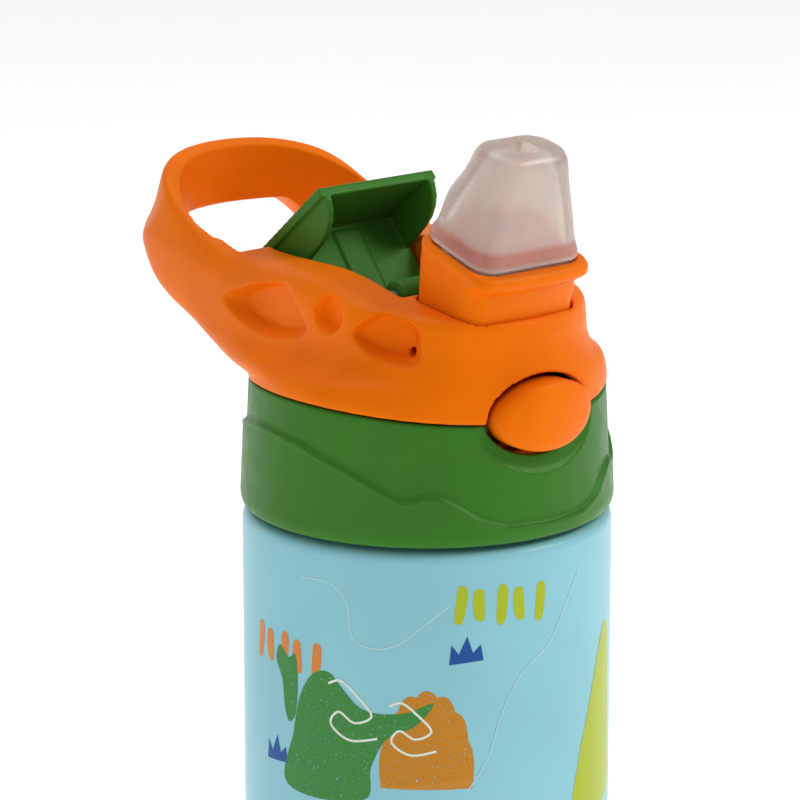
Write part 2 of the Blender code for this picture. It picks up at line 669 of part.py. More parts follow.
def make_flip_cover():
    """Green cover, open: flanged front plate, quarter-round cheeks, roof and hinge arm."""
    hung = {"parent": LID, "origin": HINGE}
    spare = {"parent": LID, "cutter": True}
    plate = strip([COVER_TOP, COVER_LIP], -COVER_WALL)
    cover = side_plate("flip_cover", plate, -FLANGE_HALF_WIDTH, FLANGE_HALF_WIDTH, **hung)
    hub = (HINGE[1], HINGE[2])
    start_point = (COVER_FOLD[0] + 0.9, COVER_FOLD[1] + 1.1)
    arm = side_plate("arm", strip([start_point, COVER_HEEL, hub], -COVER_WALL),
                     -COVER_HALF_WIDTH, COVER_HALF_WIDTH, **spare)
    join(cover, arm)
    cheek = [COVER_LIP, (14.0, 59.6), (13.4, 57.4), (13.5, 55.2), (14.6, 52.6), (16.6, 50.0),
             (19.4, 47.4), (23.4, 43.2), (25.0, 44.6), (29.6, 46.0), (33.4, 46.4)]
    for side in (-1, 1):
        low, high = sorted((side * 12.4, side * COVER_HALF_WIDTH))
        join(cover, side_plate(f"cheek_{side + 1}", cheek, low, high, **spare))
    knuckles = cylinder("knuckles", HINGE, (1, 0, 0), 3.2, 2 * COVER_HALF_WIDTH, **spare)
    join(cover, knuckles)
    tooth = [(HINGE[1] - 2.2, HINGE[2] - 1.4), (HINGE[1] - 4.1, HINGE[2] + 0.6),
             (HINGE[1] - 3.8, HINGE[2] + 1.8), (HINGE[1] - 1.4, HINGE[2] + 2.4)]
    for side in (-1, 1):
        low, high = sorted((side * 6.2, side * 8.6))
        join(cover, side_plate(f"tooth_{side + 1}", tooth, low, high, **spare))
    rib = strip([(COVER_FOLD[0] + 0.4, COVER_FOLD[1] - 0.4), (COVER_HEEL[0] + 1.5, COVER_HEEL[1] + 0.9)], 1.0)
    join(cover, side_plate("rib", rib, -3.2, 3.2, **spare))
    window = box("spring_window", (-5.9, HINGE[1] - 4.5, HINGE[2] - 4.5),
                 (5.9, HINGE[1] + 4.5, HINGE[2] + 4.5), **spare)
    bore = cylinder("cover_bore", HINGE, (1, 0, 0), PIN_RADIUS + 0.1, 40.0, **spare)
    cut(cover, window, bore)
    return finish(cover, GREEN, 0.4)


def tube_along(name, points, radius, colour, **place):
    """A wire through a list of points, as a curve with filled ends."""
    curve = bpy.data.curves.new(name, "CURVE")
    curve.dimensions = "3D"
    curve.bevel_depth = radius * MM
    curve.bevel_resolution = 1
    curve.use_fill_caps = True
    origin = Vector(place.get("origin", (0, 0, 0)))
    line = curve.splines.new("POLY")
    line.points.add(len(points) - 1)
    for slot, point in zip(line.points, points):
        slot.co = (*((Vector(point) - origin) * MM), 1)
    obj = bpy.data.objects.new(name, curve)
    obj.location = origin * MM
    obj.parent = LID
    PARTS.objects.link(obj)
    return finish(obj, colour, 0.3, 1.0)


def make_hinge():
    """Steel pin and the torsion spring that lifts the cover."""
    pin = cylinder("hinge_pin", HINGE, (1, 0, 0), PIN_RADIUS, PIN_LENGTH, parent=LID, origin=HINGE)
    finish(pin, STAINLESS, 0.3, 1.0)
    turns, per_turn, reach = 4, 8, 2.3
    points = [(-4.6, HINGE[1] - 3.2, HINGE[2] - 6.5)]
    for i in range(turns * per_turn + 1):
        angle = math.pi + 2 * math.pi * i / per_turn
        x = -4.6 + 9.2 * i / (turns * per_turn)
        points.append((x, HINGE[1] + reach * math.cos(angle), HINGE[2] + reach * math.sin(angle)))
    points.append((4.6, HINGE[1] - 3.2, HINGE[2] - 6.5))
    tube_along("cover_spring", points, 0.4, STAINLESS, origin=HINGE)


# Button and latch ------------------------------------------------------------------------

def make_release_button():
    """Oval domed button that follows the lid's curve, with a stem behind it."""
    def front(scale, depth):
        outline = [(x * scale, BUTTON_Z + (z - BUTTON_Z) * scale) for x, z in button_outline(0)]
        return [(x, depth - math.sqrt(BUTTON_FACE_RADIUS ** 2 - x * x), z) for x, z in outline]

    rings = [[(x, -31.2, z) for x, z in button_outline(0)], front(1.0, 1.5), front(0.985, 0.8),
             front(0.93, 0.25), front(0.8, -0.25), front(0.5, -0.7), front(0.15, -0.85)]
    origin = (0, -BUTTON_FACE_RADIUS, BUTTON_Z)
    button = loft("release_button", rings, parent=LID, origin=origin)
    return finish(button, ORANGE, 0.38)


def make_latch():
    """White slider behind the button: front plate, two rails, spring lugs, bar and hook."""
    spare = {"parent": LID, "cutter": True}
    slider = box("latch_slider", (-10.6, -30.7, 21.5), (10.6, -29.3, 26.4), parent=LID)
    for side in (-1, 1):
        rail_low, rail_high = sorted((side * 8.2, side * 10.6))
        lug_low, lug_high = sorted((side * 9.8, side * 16.4))
        hook_low, hook_high = sorted((side * 6.2, side * 8.6))
        join(slider,
             box(f"rail_{side + 1}", (rail_low, -30.0, 21.5), (rail_high, -8.4, 24.0), **spare),
             box(f"lug_{side + 1}", (lug_low, -27.0, 21.5), (lug_high, -25.4, 25.6), **spare),
             box(f"hook_{side + 1}", (hook_low, -10.7, 23.0), (hook_high, -8.9, 39.2), **spare))
    join(slider, box("bar", (-10.6, -10.7, 21.5), (10.6, -7.9, 24.0), **spare))
    finish(slider, WHITE, 0.4)
    for side, word in ((-1, "left"), (1, "right")):
        turns, per_turn = 4, 8
        points = []
        for i in range(turns * per_turn + 1):
            angle = 2 * math.pi * i / per_turn
            y = -24.6 + 7.0 * i / (turns * per_turn)
            points.append((side * SPRING_X + 1.5 * math.cos(angle), y,
                           SPRING_Z + 1.5 * math.sin(angle)))
        tube_along(f"button_spring_{word}", points, 0.3, STAINLESS)


def shade_round():
    """Shade every mesh smooth, with its true corners kept sharp."""
    for obj in PARTS.objects:
        if obj.type == "MESH":
            obj.data.shade_smooth()
            obj.data.set_sharp_from_angle(angle=math.radians(35))


def main():
    """Build the whole bottle."""
    make_outer_shell()
    make_inner_liner()
    make_base_plate()
    make_screw_collar()
    make_lid_top()
    make_spout_base()
    make_spout()
    make_straw()
    make_seals()
    make_flip_cover()
    make_hinge()
    make_release_button()
    make_latch()
    shade_round()


main()
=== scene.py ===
"""Looks for the kids' water bottle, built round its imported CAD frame.

Shapes are drawn in millimetres and built in metres, in the frame's own axes: +Z up, front towards
-Y. Lid pieces are drawn from the collar's bottom edge, as the CAD draws them.
"""

import math

import bmesh
import bpy
from mathutils import Matrix, Vector


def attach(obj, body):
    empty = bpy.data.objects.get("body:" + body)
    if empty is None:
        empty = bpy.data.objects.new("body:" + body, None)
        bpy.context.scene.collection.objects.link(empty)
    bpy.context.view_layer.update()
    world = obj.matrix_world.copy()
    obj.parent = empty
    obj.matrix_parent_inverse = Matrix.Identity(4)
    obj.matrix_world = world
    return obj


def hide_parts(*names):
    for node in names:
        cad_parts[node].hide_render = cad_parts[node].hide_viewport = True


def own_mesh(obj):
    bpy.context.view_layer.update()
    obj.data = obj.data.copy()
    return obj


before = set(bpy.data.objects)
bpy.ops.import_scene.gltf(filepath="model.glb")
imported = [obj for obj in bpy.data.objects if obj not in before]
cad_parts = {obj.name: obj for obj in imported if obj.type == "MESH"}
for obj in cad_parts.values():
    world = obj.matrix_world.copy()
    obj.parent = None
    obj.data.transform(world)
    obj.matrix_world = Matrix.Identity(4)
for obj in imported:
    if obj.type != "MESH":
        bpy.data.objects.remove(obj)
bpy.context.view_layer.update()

MM = 0.001
COLLAR_Z = 121.0              # height of the lid's own frame
GAP = 0.3
AROUND = 240                  # points round a turned or lofted form
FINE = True

BODY_RADIUS = 36.5
BODY_HEIGHT = 120.0
STEEL = 0.8
NECK_RADIUS = 31.5
NECK_HEIGHT = 132.4
FOOT_RADIUS = 30.3
COLLAR_BORE = 32.9
COLLAR_INNER = 33.2
FLANGE_RADIUS = 28.5
FLANGE_LOW, FLANGE_HIGH = 14.2, 15.4
THREAD_LEAD, THREAD_START = 8.0, 1.6
WELL_HALF_WIDTH = 15.5
WELL_FRONT, WELL_REAR = -11.3, 33.0
WELL_FLOOR, WELL_WALL = 26.5, 1.7
LOOP_CENTRE, LOOP_INNER, LOOP_FRONT = 40.8, 23.7, 35.6
HINGE = (0.0, -6.9, 44.1)
PIN_RADIUS = 1.25
BUTTON_Z = 24.1
BUTTON_HALF_WIDTH, BUTTON_HALF_HEIGHT = 11.7, 6.8
BUTTON_FACE_RADIUS = 37.5

ORANGE = (0.95, 0.180, 0.002)
GREEN = (0.042, 0.180, 0.018)
BLUE = (0.285, 0.610, 0.690)
SILICONE = (0.94, 0.80, 0.72)


# Curves and outlines ---------------------------------------------------------------------

def between(points, x):
    """Height of a line through (x, y) points."""
    for (x0, y0), (x1, y1) in zip(points, points[1:]):
        if x <= x1:
            share = max(0.0, x - x0) / (x1 - x0)
            return y0 + (y1 - y0) * share
    return points[-1][1]


def soft_between(points, x, spread=3.0):
    """The same line with its corners rounded off."""
    offsets = [spread * (i / 4 - 1) for i in range(9)]
    weights = [1 - abs(o) / (spread * 1.25) for o in offsets]
    return sum(w * between(points, x + o) for w, o in zip(weights, offsets)) / sum(weights)


def ease(low, high, x):
    """Rise smoothly from 0 at low to 1 at high."""
    share = min(1.0, max(0.0, (x - low) / (high - low)))
    return share * share * (3 - 2 * share)


def circle(radius, count=24, centre=(0.0, 0.0)):
    """Points round a circle."""
    angles = [2 * math.pi * i / count for i in range(count)]
    return [(centre[0] + radius * math.cos(a), centre[1] + radius * math.sin(a)) for a in angles]


def rounded(half_x, half_y, radius, centre=(0.0, 0.0), corner=12):
    """A rectangle with round corners, corner + 1 points to each corner."""
    points = []
    for quarter, (sx, sy) in enumerate(((1, 1), (-1, 1), (-1, -1), (1, -1))):
        for i in range(corner + 1):
            angle = math.pi / 2 * (quarter + i / corner)
            points.append((centre[0] + sx * (half_x - radius) + radius * math.cos(angle),
                           centre[1] + sy * (half_y - radius) + radius * math.sin(angle)))
    return points


def spline(a, b, c, d, t):
    """A point between b and c on a smooth curve through four points."""
    return (2 * b + (c - a) * t + (2 * a - 5 * b + 4 * c - d) * t * t
            + (3 * b - a - 3 * c + d) * t ** 3) / 2


def smooth_rings(rings, steps):
    """Rings with smooth rings put in between them."""
    rings = [[Vector(p) for p in ring] for ring in rings]
    made = []
    for i in range(len(rings) - 1):
        four = (rings[max(i - 1, 0)], rings[i], rings[i + 1], rings[min(i + 2, len(rings) - 1)])
        for k in range(steps):
            made.append([spline(*points, k / steps) for points in zip(*four)])
    return made + [rings[-1]]


def smooth_loop(points, steps=8):
    """A closed smooth curve through 2D points."""
    points = [Vector(p) for p in points]
    count = len(points)
    return [spline(*(points[(i + j) % count] for j in (-1, 0, 1, 2)), k / steps)
            for i in range(count) for k in range(steps)]


def smooth_line(points, steps=10):
    """An open smooth curve through 2D points."""
    points = [Vector(p) for p in points]
    ends = [points[0]] + points + [points[-1]]
    made = [spline(*ends[i:i + 4], k / steps) for i in range(len(points) - 1) for k in range(steps)]
    return made + [points[-1]]


# Solids ----------------------------------------------------------------------------------

def add_object(name, bm, height=0.0):
    """Make an object from a bmesh drawn in millimetres above a given height."""
    bm.transform(Matrix.Scale(MM, 4) @ Matrix.Translation((0, 0, height)))
    mesh = bpy.data.meshes.new(name)
    bm.to_mesh(mesh)
    bm.free()
    mesh.shade_smooth()
    obj = bpy.data.objects.new(name, mesh)
    bpy.context.scene.collection.objects.link(obj)
    return obj


def loft(name, rings, height=COLLAR_Z, ring_of_rings=False):
    """Join rings of as many points; the ends are capped, or the last ring meets the first."""
    bm = bmesh.new()
    grid = [[bm.verts.new(point) for point in ring] for ring in rings]
    following = grid[1:] + grid[:1] if ring_of_rings else grid[1:]
    for low, high in zip(grid, following):
        for i in range(len(low)):
            j = (i + 1) % len(low)
            bm.faces.new((low[i], low[j], high[j], high[i]))
    if not ring_of_rings:
        bm.faces.new(list(reversed(grid[0])))
        bm.faces.new(grid[-1])
    bmesh.ops.recalc_face_normals(bm, faces=bm.faces)
    return add_object(name, bm, height)


def lathe(name, profile, height=0.0, steps=AROUND, ring=False, at=(0.0, 0.0)):
    """Turn a (radius, z) profile round a vertical line; a ring's profile closes on itself."""
    rings = [[(at[0] + max(r, 0.01) * math.cos(a), at[1] + max(r, 0.01) * math.sin(a), z)
              for a in (2 * math.pi * i / steps for i in range(steps))] for r, z in profile]
    return loft(name, rings, height, ring)


def extruded(name, outline, way, taper=1.0):
    """Push a flat outline of 3D points along a vector, with the far end scaled by taper."""
    points = [Vector(p) for p in outline]
    middle = sum(points, Vector()) / len(points)
    far = [middle + (p - middle) * taper + Vector(way) for p in points]
    return loft(name, [points, far])


def box(name, low, high):
    """A box between two corners."""
    bm = bmesh.new()
    size = [b - a for a, b in zip(low, high)]
    middle = [(a + b) / 2 for a, b in zip(low, high)]
    bmesh.ops.create_cube(bm, matrix=Matrix.Translation(middle) @ Matrix.Diagonal((*size, 1)), size=1)
    return add_object(name, bm, COLLAR_Z)


def cylinder(name, middle, axis, radius, length, sides=48):
    """A cylinder round an axis vector."""
    bm = bmesh.new()
    turn = Vector(axis).to_track_quat("Z", "Y").to_matrix().to_4x4()
    bmesh.ops.create_cone(bm, cap_ends=True, segments=sides, radius1=radius, radius2=radius,
                          depth=length, matrix=Matrix.Translation(middle) @ turn)
    return add_object(name, bm, COLLAR_Z)


def apply(obj):
    """Turn an object's modifiers into its mesh."""
    seen = obj.evaluated_get(bpy.context.evaluated_depsgraph_get())
    mesh = bpy.data.meshes.new_from_object(seen)
    obj.modifiers.clear()
    obj.data = mesh
    return obj


def combine(obj, others, operation):
    """Join other solids to an object or cut them away, and remove them."""
    for other in others:
        step = obj.modifiers.new(other.name, "BOOLEAN")
        step.object = other
        step.operation = operation
        step.solver = "EXACT"
    apply(obj)
    for other in others:
        bpy.data.objects.remove(other, do_unlink=True)


def soften(obj, voxel, rounds):
    """Give a solid the small soft edges of a moulding."""
    remesh = obj.modifiers.new("Remesh", "REMESH")
    remesh.mode = "VOXEL"
    remesh.voxel_size = voxel * MM * (1 if FINE else 2)
    relax = obj.modifiers.new("Relax", "SMOOTH")
    relax.factor = 0.5
    relax.iterations = rounds if FINE else max(1, rounds // 3)
    apply(obj)
    obj.data.shade_smooth()
    return obj


def copy_of(node):
    """A free copy of a CAD node's mesh."""
    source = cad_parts[node]
    obj = bpy.data.objects.new(node + "_visual", source.data.copy())
    obj.data.transform(source.matrix_world)
    obj.data.materials.clear()
    bpy.context.scene.collection.objects.link(obj)
    return obj


def place(obj, body, node, look):
    """Give a finished piece its body and its material, and hide the CAD node that it stands for."""
    obj.data.materials.clear()
    obj.data.materials.append(look)
    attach(obj, body)
    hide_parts(node)
    return obj


# Materials -------------------------------------------------------------------------------

def new_look(name, colour, roughness, **sockets):
    """A material with a Principled shader, and what is needed to add nodes to it."""
    look = bpy.data.materials.new(name)
    look.use_nodes = True
    shader = look.node_tree.nodes["Principled BSDF"]
    shader.inputs["Base Color"].default_value = (*colour, 1)
    shader.inputs["Roughness"].default_value = roughness
    for socket, value in sockets.items():
        shader.inputs[socket.replace("_", " ")].default_value = value
    return look, look.node_tree.nodes, look.node_tree.links.new, shader


def noise(nodes, link, scale, detail=3.0, stretch=(1, 1, 1)):
    """A noise texture in object space; scale is in features per metre."""
    place_in = nodes.new("ShaderNodeTexCoord")
    mapping = nodes.new("ShaderNodeMapping")
    mapping.inputs["Scale"].default_value = stretch
    texture = nodes.new("ShaderNodeTexNoise")
    texture.inputs["Scale"].default_value = scale
    texture.inputs["Detail"].default_value = detail
    link(place_in.outputs["Object"], mapping.inputs["Vector"])
    link(mapping.outputs["Vector"], texture.inputs["Vector"])
    return texture.outputs["Fac"]


def ramp(nodes, link, source, stops):
    """A colour ramp fed by a value."""
    node = nodes.new("ShaderNodeValToRGB")
    elements = node.color_ramp.elements
    while len(elements) < len(stops):
        elements.new(0.5)
    for element, (position, colour) in zip(elements, stops):
        element.position = position
        element.color = (*colour, 1)
    link(source, node.inputs["Fac"])
    return node.outputs["Color"]


def bump(nodes, link, shader, source, depth):
    """Surface relief from a value, depth in millimetres."""
    node = nodes.new("ShaderNodeBump")
    node.inputs["Strength"].default_value = 1.0
    node.inputs["Distance"].default_value = depth * MM
    link(source, node.inputs["Height"])
    link(node.outputs["Normal"], shader.inputs["Normal"])


def tinted(colour, share):
    """A colour made lighter or darker."""
    return tuple(min(1.0, c * share) for c in colour)


def plastic(name, colour, roughness, relief=0.012, **sockets):
    """Moulded plastic: a faint drift of colour, a fine surface and small changes of gloss."""
    look, nodes, link, shader = new_look(name, colour, roughness, **sockets)
    drift = noise(nodes, link, 45, 2)
    link(ramp(nodes, link, drift, [(0.3, tinted(colour, 0.9)), (0.7, tinted(colour, 1.08))]),
         shader.inputs["Base Color"])
    low, high = (roughness - 0.05,) * 3, (roughness + 0.06,) * 3
    link(ramp(nodes, link, noise(nodes, link, 260, 4), [(0.35, low), (0.65, high)]),
         shader.inputs["Roughness"])
    bump(nodes, link, shader, noise(nodes, link, 1900, 2), relief)
    return look


def steel(name, stretch):
    """Brushed stainless steel, with its grain along one direction."""
    look, nodes, link, shader = new_look(name, (0.62, 0.62, 0.63), 0.3, Metallic=1.0)
    grain = noise(nodes, link, 900, 3, stretch)
    link(ramp(nodes, link, grain, [(0.3, (0.2,) * 3), (0.7, (0.42,) * 3)]), shader.inputs["Roughness"])
    bump(nodes, link, shader, grain, 0.01)
    return look


def paint():
    """Glossy pale blue paint with the slight waviness of a sprayed and baked coat."""
    look, nodes, link, shader = new_look("body_paint", BLUE, 0.3, Specular_IOR_Level=0.15,
                                         Coat_Weight=0.08, Coat_Roughness=0.08)
    drift = noise(nodes, link, 30, 2)
    link(ramp(nodes, link, drift, [(0.3, tinted(BLUE, 0.96)), (0.7, tinted(BLUE, 1.05))]),
         shader.inputs["Base Color"])
    bump(nodes, link, shader, noise(nodes, link, 420, 2), 0.008)
    return look


def ink(name, colour, speckle=0.0):
    """Printed ink; speckle lets small dots of the ground show through."""
    look, nodes, link, shader = new_look(name, colour, 0.3, Specular_IOR_Level=0.15,
                                         Coat_Weight=0.08, Coat_Roughness=0.08)
    wear = noise(nodes, link, 2600, 3)
    edge = 0.31 + 0.03 * speckle
    link(ramp(nodes, link, wear, [(edge - 0.03, tinted(BLUE, 0.9) if speckle else tinted(colour, 0.8)),
                                  (edge, tinted(colour, 0.95)), (0.75, tinted(colour, 1.08))]),
         shader.inputs["Base Color"])
    return look


def silicone(name, transmission, roughness):
    """Milky translucent silicone with a faint warm cloud in it."""
    look, nodes, link, shader = new_look(
        name, SILICONE, roughness, Transmission_Weight=transmission, IOR=1.41,
        Subsurface_Weight=0.35, Subsurface_Scale=0.004)
    shader.inputs["Subsurface Radius"].default_value = (1.0, 0.6, 0.45)
    cloud = noise(nodes, link, 90, 3, (1, 1, 0.35))
    link(ramp(nodes, link, cloud, [(0.3, (0.90, 0.75, 0.69)), (0.7, (0.98, 0.90, 0.80))]),
         shader.inputs["Base Color"])
    bump(nodes, link, shader, noise(nodes, link, 350, 2), 0.02)
    return look


def painted_plug_showthrough(look):
    """Painted show-through: a rosy band painted just above the spout's sloping foot, standing in for the
    light of the orange plug inside showing through the silicone.
    """
    nodes, link = look.node_tree.nodes, look.node_tree.links.new
    base = nodes["Principled BSDF"].inputs["Base Color"]
    place_in = nodes.new("ShaderNodeTexCoord")
    above = nodes.new("ShaderNodeVectorMath")
    above.operation = "DOT_PRODUCT"
    above.inputs[1].default_value = (0, -0.31, 1.0)
    share = nodes.new("ShaderNodeMapRange")
    share.inputs["From Min"].default_value = (COLLAR_Z + 61.5) * MM
    share.inputs["From Max"].default_value = (COLLAR_Z + 71.5) * MM
    tint = nodes.new("ShaderNodeMix")
    tint.data_type = "RGBA"
    tint.blend_type = "MULTIPLY"
    tint.inputs["Factor"].default_value = 1.0
    # Painted show-through colour: this rosy band stands in for the orange plug's light seen through the
    # silicone.
    band = [(0.08, (1, 1, 1)), (0.16, (0.93, 0.5, 0.46)), (0.34, (0.93, 0.5, 0.46)), (0.46, (1, 1, 1))]
    link(place_in.outputs["Object"], above.inputs[0])
    link(above.outputs["Value"], share.inputs["Value"])
    link(base.links[0].from_socket, tint.inputs["A"])
    link(ramp(nodes, link, share.outputs["Result"], band), tint.inputs["B"])
    link(tint.outputs["Result"], base)
    return look


LOOKS = {
    "orange": plastic("orange_plastic", ORANGE, 0.42, Specular_IOR_Level=0.2,
                      Specular_Tint=(1.0, 0.5, 0.12, 1.0)),
    "green": plastic("green_plastic", GREEN, 0.38, Specular_IOR_Level=0.25,
                     Specular_Tint=(0.5, 1.0, 0.4, 1.0)),
    "white": plastic("white_plastic", (0.8, 0.8, 0.78), 0.45),
    "clear": plastic("clear_plastic", (0.85, 0.86, 0.86), 0.2, Transmission_Weight=0.7),
    "steel_round": steel("brushed_steel_round", (0.05, 0.05, 1.0)),
    "steel_long": steel("brushed_steel_long", (0.05, 1.0, 1.0)),
    "paint": paint(),
    # The silicone's rosy foot band is painted show-through of the orange plug inside.
    "silicone": painted_plug_showthrough(silicone("clear_silicone", 0.6, 0.26)),
    "seal": silicone("seal_silicone", 0.1, 0.5),
}


# Body ------------------------------------------------------------------------------------

def thread(name, root, crest, z_start, phase, height):
    """One start of a right-handed thread: a tapered ridge one turn long."""
    rings = []
    for i in range(AROUND + 1):
        share = i / AROUND
        depth = min(1.0, 0.1 + share * 12, 0.1 + (1 - share) * 12)
        tip = root + (crest - root) * depth
        angle = 2 * math.pi * share + phase
        z = z_start + THREAD_LEAD * share
        rings.append([(r * math.cos(angle), r * math.sin(angle), z + dz)
                      for r, dz in ((root, -0.9), (tip, -0.4), (tip, 0.4), (root, 0.9))])
    return loft(name, rings, height)


def merged(obj, others):
    """Put other meshes into an object's mesh as they are."""
    bm = bmesh.new()
    for piece in [obj] + others:
        bm.from_mesh(piece.data)
    bm.to_mesh(obj.data)
    bm.free()
    for piece in others:
        bpy.data.objects.remove(piece, do_unlink=True)
    obj.data.set_sharp_from_angle(angle=math.radians(30))
    return obj


def make_body():
    """Painted outer wall with its threaded neck."""
    side, inner_neck = BODY_RADIUS - STEEL, NECK_RADIUS - STEEL
    profile = [
        (NECK_RADIUS, NECK_HEIGHT), (NECK_RADIUS, BODY_HEIGHT + 0.4), (NECK_RADIUS + 0.3, BODY_HEIGHT),
        (34.4, BODY_HEIGHT), (35.1, 119.92), (35.7, 119.6), (36.1, 119.2), (36.35, 118.6),
        (BODY_RADIUS, 117.8), (BODY_RADIUS, 3.0), (36.38, 2.2), (36.1, 1.4), (35.6, 0.7), (35.0, 0.25),
        (34.2, 0.0), (FOOT_RADIUS, 0.0), (FOOT_RADIUS, STEEL), (33.9, STEEL), (35.0, 1.3), (side, 3.0),
        (side, 117.6), (35.3, 118.6), (34.6, 119.2), (inner_neck, 119.4), (inner_neck, NECK_HEIGHT)]
    shell = lathe("body_shell", profile, ring=True)
    ridges = [thread(f"neck_thread_{k}", NECK_RADIUS - 0.3, NECK_RADIUS + 0.9, THREAD_START,
                     math.pi * k, COLLAR_Z) for k in range(2)]
    place(merged(shell, ridges), "bottle", "outer_shell", LOOKS["paint"])


# Print -----------------------------------------------------------------------------------

def on_wall(angle, z, proud):
    """A point on the body's wall; angle is in degrees from the front, towards +X."""
    turn = math.radians(angle)
    radius = BODY_RADIUS + proud
    return Vector((radius * math.sin(turn), -radius * math.cos(turn), z))


DEGREE = BODY_RADIUS * math.pi / 180      # millimetres of wall in one degree
DECAL_STEP = 1.5                          # a decal is cut into strips this wide, so that it bends


def printed(name, bm, look):
    """Make a printed shape from a bmesh and fix it to the wall."""
    obj = add_object(name, bm)
    obj.data.materials.append(look)
    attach(obj, "bottle")


def decal(name, outline, look, proud=0.04):
    """A flat printed shape on the wall, from (angle, z) points."""
    bm = bmesh.new()
    face = bm.faces.new([bm.verts.new((x * DEGREE, z, 0)) for x, z in outline])
    bmesh.ops.triangulate(bm, faces=[face])
    low = min(x for x, _ in outline) * DEGREE
    high = max(x for x, _ in outline) * DEGREE
    for i in range(1, int((high - low) / DECAL_STEP) + 1):
        bmesh.ops.bisect_plane(bm, geom=bm.verts[:] + bm.edges[:] + bm.faces[:],
                               plane_co=(low + DECAL_STEP * i, 0, 0), plane_no=(1, 0, 0))
    for vert in bm.verts:
        vert.co = on_wall(vert.co.x / DEGREE, vert.co.y, proud)
    bmesh.ops.recalc_face_normals(bm, faces=bm.faces)
    first = bm.faces[:][0]
    middle = first.calc_center_median()
    if first.normal.dot(Vector((middle.x, middle.y, 0))) < 0:
        bmesh.ops.reverse_faces(bm, faces=bm.faces)
    printed(name, bm, look)


def ribbon(name, points, width, look, proud=0.07):
    """A printed line of even width along (angle, z) points."""
    line = [Vector((x * DEGREE, z)) for x, z in smooth_line(points)]
    bm = bmesh.new()
    rows = []
    for i, point in enumerate(line):
        way = (line[min(i + 1, len(line) - 1)] - line[max(i - 1, 0)]).normalized()
        side = Vector((-way.y, way.x)) * width / 2
        rows.append([bm.verts.new(on_wall(p.x / DEGREE, p.y, proud))
                     for p in (point + side, point - side)])
    for (a, b), (c, d) in zip(rows, rows[1:]):
        bm.faces.new((a, c, d, b))
    bmesh.ops.recalc_face_normals(bm, faces=bm.faces)
    printed(name, bm, look)


def shifted(points, angle, z, size=1.0):
    """Points moved and scaled."""
    return [(angle + x * size, z + y * size) for x, y in points]


HILL = [(-20, -20), (-17, -9), (-14, -1), (-9, 4), (-3, 5), (2, 2), (7, -1), (13, -2), (22, -1.5),
        (30, 0.5), (25, -4), (16, -7), (11, -13), (8, -20)]
SPROUT = [(-19, 2), (-22, 6), (-20, 9), (-16, 7), (-13, 8), (-12, 3), (-13, -4), (-16, -6), (-18, -3)]
LEAF = [(-14, -24), (-13, -14), (-8, -5), (-2, 5), (3, 11), (7, 12), (10, 7), (11, -4), (12, -14),
        (11, -24)]
TUFT = [(-5.3, -2.4), (-4.6, 1.6), (-2.4, -0.4), (0.2, 3.2), (2.0, -0.2), (4.4, 1.4), (5.3, -1.8)]
SWIRL = [(-22, 5), (-12, 5), (-6, 2), (-4, -5), (2, -7), (10, -6), (18, -2), (26, 2)]
CURL = [(13, 14), (7, 8), (0, 1), (-10, -4), (-17, -12), (-21, -20), (-28, -27)]
RIB = [(-8, 2), (-3, 3), (3, 0), (8, -4), (2, -6), (-4, -4), (-7, -7), (0, -10), (10, -9)]


def scallop(count=7):
    """A round hill with an upper edge of count small lobes."""
    points = [(16, -18), (-12, -18)]
    for i in range(count * 6 + 1):
        share = i / (count * 6)
        angle = math.pi * (1 - share)
        lobe = 1 + 0.055 * abs(math.sin(math.pi * share * count))
        points.append((2 + 14 * lobe * math.cos(angle), -18 + 19 * lobe * math.sin(angle) ** 0.8))
    return points


def dashes(name, angle, z, look):
    """A short row of leaning brush dabs."""
    for i, (lean, tall) in enumerate(((0.8, 3.4), (-0.6, 2.9), (0.4, 3.6), (-0.9, 3.0), (0.5, 3.5))):
        dab = [(-1.5, -tall), (1.0, -tall), (1.7 + lean, tall * 0.4), (1.2 + lean, tall),
               (-1.2 + lean, tall), (-1.9 + lean, 0)]
        dab = shifted(dab, angle + 6.6 * (i - 2), z + 0.25 * (2 - i))
        decal(f"{name}_{i}", smooth_loop(dab, 5), look)


def make_print():
    """Generic hills, sprouts, leaves, tufts and white line swirls, repeated round the wall."""
    green = ink("ink_green", (0.05, 0.25, 0.05), 1.0)
    ochre = ink("ink_ochre", (0.58, 0.23, 0.012), 1.0)
    lime = ink("ink_lime", (0.44, 0.52, 0.015))
    navy = ink("ink_navy", (0.01, 0.085, 0.33))
    amber = ink("ink_amber", (0.70, 0.24, 0.045))
    white = ink("ink_white", (0.50, 0.72, 0.76))
    bright = ink("ink_bright", (0.78, 0.84, 0.72))
    for copy, (turn, drop) in enumerate(((0, 0), (0, -50), (180, -24))):
        tag = f"print_{copy}"
        decal(tag + "_scallop", shifted(scallop(), -42 + turn, 91 + drop), ochre, 0.035)
        decal(tag + "_hill", smooth_loop(shifted(HILL, -68 + turn, 90 + drop)), green, 0.05)
        decal(tag + "_sprout", smooth_loop(shifted(SPROUT, -71 + turn, 89 + drop)), green, 0.055)
        decal(tag + "_leaf", smooth_loop(shifted(LEAF, 27 + turn, 87 + drop)), lime, 0.05)
        decal(tag + "_tuft", shifted(TUFT, -28 + turn, 100.5 + drop), navy, 0.05)
        decal(tag + "_tuft_low", shifted(TUFT, -93 + turn, 76 + drop), navy, 0.05)
        dashes(tag + "_lime", -17 + turn, 109.5 + drop, lime)
        dashes(tag + "_amber", -89 + turn, 97 + drop, amber)
        ribbon(tag + "_swirl", shifted(SWIRL, -59 + turn, 108 + drop), 0.25, white)
        ribbon(tag + "_curl", shifted(CURL, 0 + turn, 99 + drop), 0.25, white)
        ribbon(tag + "_rib_a", shifted(RIB, -64 + turn, 91 + drop, 0.9), 0.45, bright)
        ribbon(tag + "_rib_b", shifted(RIB, -45 + turn, 88 + drop, 0.8), 0.45, bright)


# Collar ----------------------------------------------------------------------------------

